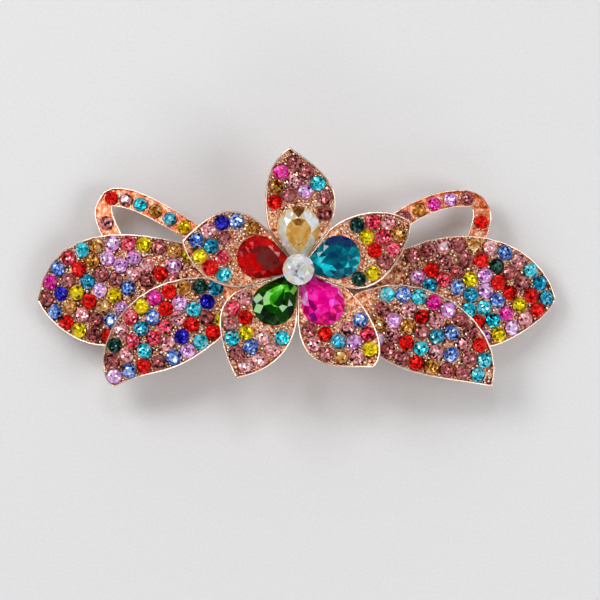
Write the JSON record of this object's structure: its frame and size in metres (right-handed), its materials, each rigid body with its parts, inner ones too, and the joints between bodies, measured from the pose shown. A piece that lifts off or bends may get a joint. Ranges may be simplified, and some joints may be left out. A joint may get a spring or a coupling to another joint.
{
  "type": "hair clip",
  "caption": "Rhinestone flower hair clip: pave petals, leaves and ribbon loops on a curved French barrette with a hinged clasp arm and spring catch.",
  "frame": {"origin": "middle of the clasp arm's flat back, on which the closed clip lies", "axes": "+X along the barrette towards its hinge, +Y towards the top petal, +Z out of the flower's face"},
  "size_m": [0.0943, 0.0429, 0.0196],
  "materials": {
    "rose_gold": "polished rose-gold plating over cast metal",
    "plated_steel": "bright plated sheet steel",
    "spring_steel": "bright spring steel",
    "pear_champagne": "cut, foiled back",
    "pear_red": "cut, foiled back",
    "pear_green": "cut, foiled back",
    "pear_fuchsia": "cut, foiled back",
    "pear_teal": "cut, foiled back",
    "centre_crystal": "cut crystal with a faint rainbow coat",
    "stones_mauve": "cut, foiled back",
    "stones_red": "cut, foiled back",
    "stones_rose": "cut, foiled back",
    "stones_lilac": "cut, foiled back",
    "stones_aqua": "cut, foiled back",
    "stones_sapphire": "cut, foiled back",
    "stones_rose_red": "cut, foiled back",
    "stones_topaz": "cut, foiled back",
    "stones_teal": "cut, foiled back",
    "stones_yellow": "cut, foiled back",
    "stones_fuchsia": "cut, foiled back",
    "stones_navy": "cut, foiled back",
    "stones_emerald": "cut, foiled back"
  },
  "bodies": {
    "clip": {"back_frame": "rose_gold", "wing_brackets": "rose_gold", "leaf_brackets": "rose_gold", "solder_posts": "rose_gold", "flower_hub": "rose_gold", "left_wing": "rose_gold", "right_wing": "rose_gold", "left_leaf": "rose_gold", "right_leaf": "rose_gold", "left_ribbon": "rose_gold", "right_ribbon": "rose_gold", "petal_top": "rose_gold", "petal_upper_left": "rose_gold", "petal_lower_left": "rose_gold", "petal_lower_right": "rose_gold", "petal_upper_right": "rose_gold", "pear_settings": "rose_gold", "centre_cup": "rose_gold", "base_plate": "plated_steel", "tension_bar": "spring_steel", "hinge_pin": "plated_steel", "catch_block": "plated_steel", "catch_rivet": "plated_steel", "pear_champagne": "pear_champagne", "pear_red": "pear_red", "pear_green": "pear_green", "pear_fuchsia": "pear_fuchsia", "pear_teal": "pear_teal", "centre_crystal": "centre_crystal", "stones_mauve": "stones_mauve", "stones_red": "stones_red", "stones_rose": "stones_rose", "stones_lilac": "stones_lilac", "stones_aqua": "stones_aqua", "stones_sapphire": "stones_sapphire", "stones_rose_red": "stones_rose_red", "stones_topaz": "stones_topaz", "stones_teal": "stones_teal", "stones_yellow": "stones_yellow", "stones_fuchsia": "stones_fuchsia", "stones_navy": "stones_navy", "stones_emerald": "stones_emerald"},
    "clasp_arm": {"clasp_arm": "plated_steel"},
    "release_tab_front": {"release_tab_front": "spring_steel"},
    "release_tab_back": {"release_tab_back": "spring_steel"}
  },
  "joints": [
    {"name": "clasp_hinge", "type": "hinge", "parent": "clip", "child": "clasp_arm", "pos_m": [0.0385, 0, 0.0017], "axis": [0, -1, 0], "range_deg": [0, 85]},
    {"name": "front_tab_pinch", "type": "hinge", "parent": "clip", "child": "release_tab_front", "pos_m": [-0.0358, -0.0014, 0.0025], "axis": [1, 0, 0], "range_deg": [0, 12], "stiffness_Nm_per_rad": 0.01},
    {"name": "back_tab_pinch", "type": "hinge", "parent": "clip", "child": "release_tab_back", "pos_m": [-0.0358, 0.0014, 0.0025], "axis": [-1, 0, 0], "range_deg": [0, 12], "stiffness_Nm_per_rad": 0.01}
  ]
}
